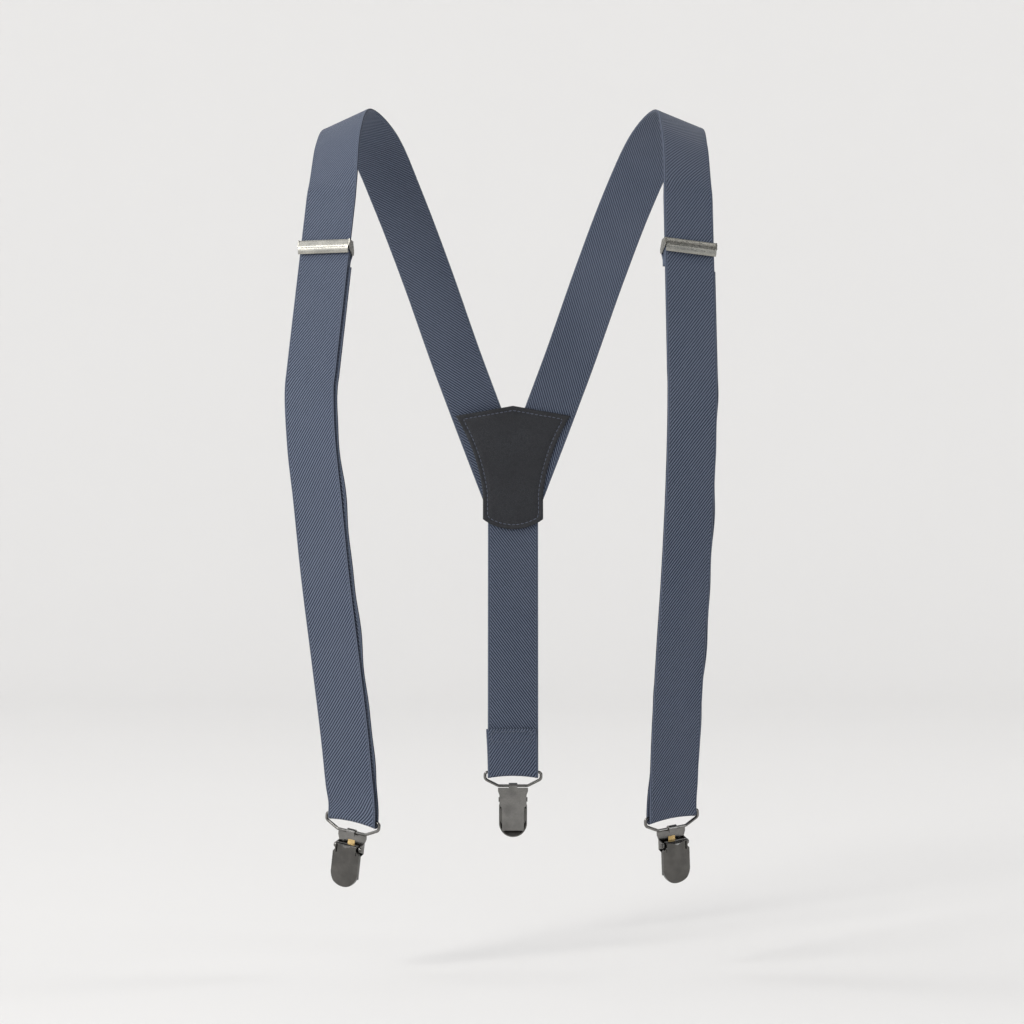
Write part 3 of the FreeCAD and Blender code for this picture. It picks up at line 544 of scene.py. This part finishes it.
def pad_material():
    """Soft clear plastic teeth that grip the trousers' cloth."""
    s = Shader("clear_pad")
    where = s.place()
    haze = s.noise(where, 300.0, 3.0)
    s.put(s.surface.inputs["Base Color"], s.mix(haze, (0.62, 0.63, 0.60, 1.0), (0.80, 0.81, 0.78, 1.0)))
    s.put(s.surface.inputs["Roughness"], s.ramp(haze, 0.3, 0.7, 0.18, 0.32))
    s.fixed(Transmission_Weight=0.55, IOR=1.46)
    s.bump(haze, 0.0001, 0.2)
    return s.material


WEBBING = webbing_material()
THREAD = thread_material()
LEATHER = leather_material()
NICKEL = metal_material("nickel_plate", (0.33, 0.325, 0.295, 1.0), (0.41, 0.40, 0.36, 1.0), 0.27, 0.02)
GUNMETAL = metal_material("black_nickel", (0.100, 0.097, 0.092, 1.0), (0.135, 0.131, 0.123, 1.0), 0.16, 0.04)
WIRE = metal_material("loop_wire", (0.15, 0.147, 0.14, 1.0), (0.22, 0.215, 0.205, 1.0), 0.16, 0.05)
PLATE = metal_material("grey_nickel", (0.17, 0.167, 0.16, 1.0), (0.23, 0.225, 0.215, 1.0), 0.18, 0.04)
BRASS = metal_material("spring_brass", (0.52, 0.36, 0.15, 1.0), (0.72, 0.52, 0.24, 1.0), 0.26)
PAD = pad_material()


def paint(piece, material):
    if piece.material_slots:
        for slot in piece.material_slots:
            slot.material = material
    else:
        piece.data.materials.append(material)


# ------------------------------------------------------------------ the straps

def finish_webbing(piece, body, node):
    paint(piece, WEBBING)
    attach(piece, body)
    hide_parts(node)


def box_stitches(middle, right, up, out, half, height):
    """Rows of stitches round a rectangle, on one face of the webbing."""
    spots = []
    for level in (-height / 2, height / 2):
        steps = int(2 * half / STITCH_PITCH)
        for k in range(steps):
            x = -half + (k + 0.5) * 2 * half / steps
            a = middle + right * (x - STITCH_LENGTH / 2) + up * level
            spots.append((a, a + right * STITCH_LENGTH, out))
    for edge in (-half, half):
        steps = max(1, int(height / STITCH_PITCH))
        for k in range(steps):
            z = -height / 2 + (k + 0.5) * height / steps
            a = middle + right * edge + up * (z - STITCH_LENGTH / 2)
            spots.append((a, a + up * STITCH_LENGTH, out))
    return spots


def strap(side):
    piece, length = band(f"{side}_strap_webbing", strap_sections(side), STRAP_WIDTH, THICKNESS)
    finish_webbing(piece, "webbing", f"{side}_strap")


def return_end(side):
    """The return layer's last stretch, which stretches between the strap and the adjuster."""
    origin, right, away, up = adjuster_frame(side)
    straight_end = Vector(ROUTES[side][STRAIGHT_START + 1][0])
    shift = away * (THICKNESS + LAYER_GAP) + right * RETURN_SHIFT
    top = origin - up * (TAIL_LENGTH + 0.3) + shift
    low = straight_end + shift - up * 0.8
    span = (top - low).length
    steps = round(span / RING_PITCH)
    strip = [Section(low + (top - low) * (i / steps), up, away) for i in range(steps + 1)]
    piece, length = band(f"{side}_return_webbing", strip, STRAP_WIDTH, THICKNESS)
    paint(piece, WEBBING)
    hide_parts(f"{side}_return_end")
    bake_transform(piece)


def tail_loop(side):
    """The strap's sewn end, folded round the adjuster's tail bar, with its box of stitches."""
    origin, right, away, up = adjuster_frame(side)
    turn = WIRE_RADIUS + FOLD_CLEARANCE + THICKNESS / 2
    bar = origin + away * TAIL_BAR_DEPTH + up * TAIL_BAR_HEIGHT
    foot_drop = TAIL_LENGTH + TAIL_BAR_HEIGHT
    wrap = []
    for i in range(8):
        wrap.append(Section(bar - away * turn - up * (foot_drop * (1 - i / 8)), up, away))
    for i in range(19):
        angle = pi * i / 18
        outward = away * -cos(angle) + up * sin(angle)
        wrap.append(Section(bar + outward * turn, up * cos(angle) + away * sin(angle), outward * -1))
    for i in range(1, 9):
        t = i / 8
        depth = turn + (THICKNESS + FOLD_CLEARANCE - 2 * turn) * smooth(t * foot_drop / TAIL_SETTLE)
        wrap.append(Section(bar + away * depth - up * (foot_drop * t), up * -1, away * -1))
    piece, length = band(f"{side}_tail_webbing", wrap, STRAP_WIDTH - 0.4, THICKNESS)
    finish_webbing(piece, f"{side}_adjuster", f"{side}_tail_loop")
    face = -turn + THICKNESS + FOLD_CLEARANCE + THICKNESS / 2
    seam = bar - up * (foot_drop - TAIL_SEAM_RISE) + away * face
    rows = box_stitches(seam, right, up, away, STRAP_WIDTH / 2 - TAIL_SEAM_INSET, TAIL_SEAM_HEIGHT)
    stitches = stitch_mesh(f"{side}_tail_stitches", rows, THREAD_RADIUS)
    paint(stitches, THREAD)
    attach(stitches, f"{side}_adjuster")


for side in ("left", "right", "back"):
    strap(side)
for side in ("left", "right"):
    return_end(side)
    tail_loop(side)


# ------------------------------------------------------------------ the yoke patch

def arc_points(a, via, b, steps):
    """Points along the circle through three points of the patch's plane, from a up to b."""
    (ax, az), (bx, bz), (cx, cz) = a, via, b
    d = 2 * (ax * (bz - cz) + bx * (cz - az) + cx * (az - bz))
    ux = ((ax**2 + az**2) * (bz - cz) + (bx**2 + bz**2) * (cz - az) + (cx**2 + cz**2) * (az - bz)) / d
    uz = ((ax**2 + az**2) * (cx - bx) + (bx**2 + bz**2) * (ax - cx) + (cx**2 + cz**2) * (bx - ax)) / d
    radius = sqrt((ax - ux) ** 2 + (az - uz) ** 2)
    start, middle, stop = (atan2(z - uz, x - ux) for x, z in (a, via, b))
    turn = (stop - start) % (2 * pi)
    if (middle - start) % (2 * pi) > turn:
        turn -= 2 * pi
    return [(ux + radius * cos(start + turn * k / steps), uz + radius * sin(start + turn * k / steps))
            for k in range(steps)]


def line_points(a, b, steps):
    return [(a[0] + (b[0] - a[0]) * k / steps, a[1] + (b[1] - a[1]) * k / steps) for k in range(steps)]


def patch_outline():
    outline = line_points((-40.0, -196.0), (0.0, -189.0), 28)
    outline += line_points((0.0, -189.0), (40.0, -196.0), 28)
    outline += arc_points((40.0, -196.0), (27.5, -222.0), (21.0, -250.0), 40)
    outline += line_points((21.0, -250.0), (21.0, -268.0), 12)
    outline += arc_points((21.0, -268.0), (0.0, -275.0), (-21.0, -268.0), 28)
    outline += line_points((-21.0, -268.0), (-21.0, -250.0), 12)
    outline += arc_points((-21.0, -250.0), (-27.5, -222.0), (-40.0, -196.0), 40)
    return outline


def outline_gap(spots, outline):
    """Distance from each spot to the nearest side of the outline."""
    sides = np.roll(outline, -1, axis=0) - outline
    away = spots[:, None, :] - outline[None, :, :]
    share = np.clip((away * sides).sum(axis=2) / (sides * sides).sum(axis=1), 0.0, 1.0)
    return np.sqrt(((away - share[:, :, None] * sides) ** 2).sum(axis=2)).min(axis=1)


def inset_outline(outline, distance):
    """The outline moved inwards, each point straight towards the hub until it is clear enough."""
    outline, hub = np.array(outline), np.array(PATCH_HUB)
    near, far = np.zeros(len(outline)), np.full(len(outline), 0.95)
    for _ in range(24):
        share = (near + far) / 2
        clear = outline_gap(outline + (hub - outline) * share[:, None], outline) >= distance
        near, far = np.where(clear, near, share), np.where(clear, share, far)
    return [tuple(spot) for spot in outline + (hub - outline) * near[:, None]]


def patch(name, node, start, reach, outward):
    """A leatherette patch with rolled edges and a sunk line where the topstitching pulls it in."""
    outline = patch_outline()
    rings = [(0.35, 0.0), (0.0, 0.25), (0.0, 0.7), (0.25, 0.93), (0.7, 1.0), (2.2, 1.0), (2.7, 0.86),
             (3.2, 0.80), (3.7, 0.86), (4.3, 1.0), (7.0, 1.0)]
    vertices, faces = [], []
    count = len(outline)
    for inset, share in rings:
        for x, z in inset_outline(outline, inset):
            vertices.append((x, start + reach * share, z))
    for i in range(len(rings) - 1):
        for j in range(count):
            a, b = i * count + j, i * count + (j + 1) % count
            faces.append((a, b, b + count, a + count))
    for ring, depth, flip in ((0, 0.0, True), (len(rings) - 1, 1.0, False)):
        hub = len(vertices)
        vertices.append((PATCH_HUB[0], start + reach * depth, PATCH_HUB[1]))
        for j in range(count):
            a, b = ring * count + j, ring * count + (j + 1) % count
            faces.append((b, a, hub) if flip else (a, b, hub))
    if reach < 0:
        faces = [tuple(reversed(face)) for face in faces]
    piece = add_mesh(name, vertices, faces)
    paint(piece, LEATHER)
    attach(piece, "webbing")
    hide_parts(node)
    seam = inset_outline(outline, PATCH_SEAM_INSET)
    lengths = [0.0]
    for i in range(1, count + 1):
        a, b = seam[i - 1], seam[i % count]
        lengths.append(lengths[-1] + sqrt((a[0] - b[0]) ** 2 + (a[1] - b[1]) ** 2))

    def seam_point(distance):
        distance %= lengths[-1]
        k = max(i for i in range(count) if lengths[i] <= distance)
        t = (distance - lengths[k]) / (lengths[k + 1] - lengths[k])
        a, b = seam[k], seam[(k + 1) % count]
        return (a[0] + (b[0] - a[0]) * t, start + reach * PATCH_SEAM_DEPTH, a[1] + (b[1] - a[1]) * t)

    number = round(lengths[-1] / PATCH_STITCH_PITCH)
    step = lengths[-1] / number
    share = PATCH_STITCH_SHARE
    spots = [(seam_point(k * step), seam_point((k + share) * step), outward) for k in range(number)]
    stitches = stitch_mesh(f"{name}_stitches", spots, PATCH_THREAD_RADIUS)
    paint(stitches, THREAD)
    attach(stitches, "webbing")


patch("yoke_leather_outer", "yoke_patch_outer", PATCH_OUTER_Y, PATCH_THICKNESS, (0, 1, 0))
patch("yoke_leather_inner", "yoke_patch_inner", PATCH_INNER_Y, -PATCH_THICKNESS, (0, -1, 0))


def back_stitches():
    """The box of stitches, on both faces, that holds the back strap's turned-up end."""
    centre, bar, down, out = loop_bar("back")
    seam = centre - down * BACK_SEAM_RISE
    inner_layer = [cut for cut in strap_sections("back") if cut.out.dot(out) < 0]
    spot = min(inner_layer, key=lambda cut: (cut.middle - seam).length)
    half = STRAP_WIDTH / 2 - BACK_SEAM_INSET
    inner_face = spot.middle + spot.out * (THICKNESS / 2)
    outer_face = spot.middle - spot.out * (1.5 * THICKNESS + LAYER_GAP + 0.55)
    rows = box_stitches(inner_face, spot.width, spot.along, spot.out, half, BACK_SEAM_HEIGHT)
    rows += box_stitches(outer_face, spot.width, spot.along, spot.out * -1, half, BACK_SEAM_HEIGHT)
    piece = stitch_mesh("back_strap_stitches", rows, THREAD_RADIUS)
    paint(piece, THREAD)
    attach(piece, "webbing")


back_stitches()

# ------------------------------------------------------------------ metal, springs and pads

# Endings of node names, with their material and how far their edges are rounded, in millimetres.
FINISHES = [
    ("adjuster_frame", NICKEL, 0.10), ("adjuster_pin", NICKEL, 0.10), ("adjuster_lever", NICKEL, 0.14),
    ("wire_loop", WIRE, 0.0), ("clip_base", PLATE, 0.12), ("clip_pin", GUNMETAL, 0.15),
    ("clip_jaw", GUNMETAL, 0.10), ("clip_lever", GUNMETAL, 0.22), ("clip_spring", BRASS, 0.05),
    ("base_pad", PAD, 0.10), ("jaw_pad", PAD, 0.10),
]
SHARP_EDGE = 28         # degrees between faces from which an edge is rounded
FACET_EDGE = 4          # and from which two facets of a paddle are shaded apart


def soften(piece, width):
    """Merge the mesh's split corners and round its sharp edges; the paddle keeps crisp facets."""
    weld = piece.modifiers.new("weld", "WELD")
    weld.merge_threshold = 1e-6
    if width:
        bevel = piece.modifiers.new("rounded_edges", "BEVEL")
        bevel.width = width * MM
        bevel.segments = 2
        bevel.limit_method = "ANGLE"
        bevel.angle_limit = radians(SHARP_EDGE)
        bevel.use_clamp_overlap = True
        bevel.harden_normals = False
    if piece.name.endswith("clip_lever"):
        facets = piece.modifiers.new("crisp_facets", "EDGE_SPLIT")
        facets.split_angle = radians(FACET_EDGE)
    elif width:
        normals = piece.modifiers.new("shading", "WEIGHTED_NORMAL")
        normals.keep_sharp = False


for ending, material, width in FINISHES:
    for name, piece in nodes.items():
        if name.endswith(ending):
            paint(piece, material)
            soften(piece, width)


# ------------------------------------------------------------------ studio

def area_light(name, place, target, size, power, colour):
    data = bpy.data.lights.new(name, "AREA")
    data.shape = "RECTANGLE"
    data.size, data.size_y = size
    data.energy = power
    data.color = colour
    lamp = bpy.data.objects.new(name, data)
    lamp.location = place
    lamp.rotation_euler = (Vector(target) - Vector(place)).to_track_quat("-Z", "Y").to_euler()
    bpy.context.scene.collection.objects.link(lamp)


def sweep(width, front, back, floor, top, radius):
    """Floor and backdrop in one sheet with a wide curve between them."""
    line = [(front, floor)]
    for k in range(25):
        angle = pi / 2 * k / 24
        line.append((back - radius + radius * sin(angle), floor + radius - radius * cos(angle)))
    line.append((back, top))
    vertices = [(x, y, z) for y, z in line for x in (-width, width)]
    faces = [(2 * i, 2 * i + 1, 2 * i + 3, 2 * i + 2) for i in range(len(line) - 1)]
    return add_mesh("studio_sweep", vertices, faces)



def paper_sweep():
    floor = sweep(width=6000.0, front=-6000.0, back=4200.0, floor=-560.0, top=5000.0, radius=1500.0)
    s = Shader("studio_paper")
    paper = s.noise(s.place(), 3.0, 2.0)
    s.put(s.surface.inputs["Base Color"], s.mix(paper, (0.79, 0.785, 0.775, 1.0), (0.80, 0.795, 0.785, 1.0)))
    s.fixed(Roughness=0.9, Specular_IOR_Level=0.1)
    paint(floor, s.material)


# The room's glow: the direction's X, from -1 to 1, and the strength seen that way.
GLOW = [(-0.96, 1.5), (-0.40, 0.95), (-0.05, 0.46), (0.25, 0.24), (0.97, 0.10)]
GLOW_PEAK = 2.0


def room_glow():
    """A world that is bright on one side and falls off to the other, so that metal shows its form."""
    world = bpy.data.worlds.new("studio")
    world.use_nodes = True
    tree = world.node_tree
    sky = tree.nodes["Background"]
    sky.inputs["Color"].default_value = (0.97, 0.975, 1.0, 1.0)
    bearing = tree.nodes.new("ShaderNodeTexCoord")
    parts = tree.nodes.new("ShaderNodeSeparateXYZ")
    side_glow = tree.nodes.new("ShaderNodeFloatCurve")
    curve = side_glow.mapping.curves[0]
    while len(curve.points) < len(GLOW):
        curve.points.new(0.5, 0.5)
    for point, (x, strength) in zip(curve.points, GLOW):
        point.location = ((x + 1) / 2, strength / GLOW_PEAK)
    side_glow.mapping.update()
    span = tree.nodes.new("ShaderNodeMath")
    span.operation = "MULTIPLY_ADD"
    span.inputs[1].default_value = 0.5
    span.inputs[2].default_value = 0.5
    gain = tree.nodes.new("ShaderNodeMath")
    gain.operation = "MULTIPLY"
    gain.inputs[1].default_value = GLOW_PEAK
    tree.links.new(bearing.outputs["Generated"], parts.inputs[0])
    tree.links.new(parts.outputs[0], span.inputs[0])
    tree.links.new(span.outputs[0], side_glow.inputs["Value"])
    tree.links.new(side_glow.outputs[0], gain.inputs[0])
    tree.links.new(gain.outputs[0], sky.inputs["Strength"])
    bpy.context.scene.world = world


paper_sweep()
room_glow()
bpy.context.scene.view_settings.view_transform = "Standard"

TARGET = (0.0, 0.0, -0.23)
area_light("key", (-1.7, -2.3, 1.3), TARGET, (1.0, 1.0), 46.0, (1.0, 0.98, 0.95))
area_light("fill", (2.4, -1.6, 0.2), TARGET, (0.5, 1.8), 8.0, (0.95, 0.97, 1.0))
area_light("backdrop_left", (-3.0, 0.6, 2.4), (0.0, 4.0, 0.0), (2.5, 2.5), 52.0, (1.0, 0.985, 0.965))
area_light("backdrop_right", (3.0, 0.6, 2.4), (0.0, 4.0, 0.0), (2.5, 2.5), 52.0, (1.0, 0.985, 0.965))

camera_data = bpy.data.cameras.new("camera")
camera_data.lens = 142.8
camera_data.sensor_width = 36.0
camera = bpy.data.objects.new("camera", camera_data)
camera.location = (-0.0007, -2.715, -0.217)
camera.rotation_euler = (radians(90 - 0.931), 0.0, 0.0)
bpy.context.scene.collection.objects.link(camera)
bpy.context.scene.camera = camera
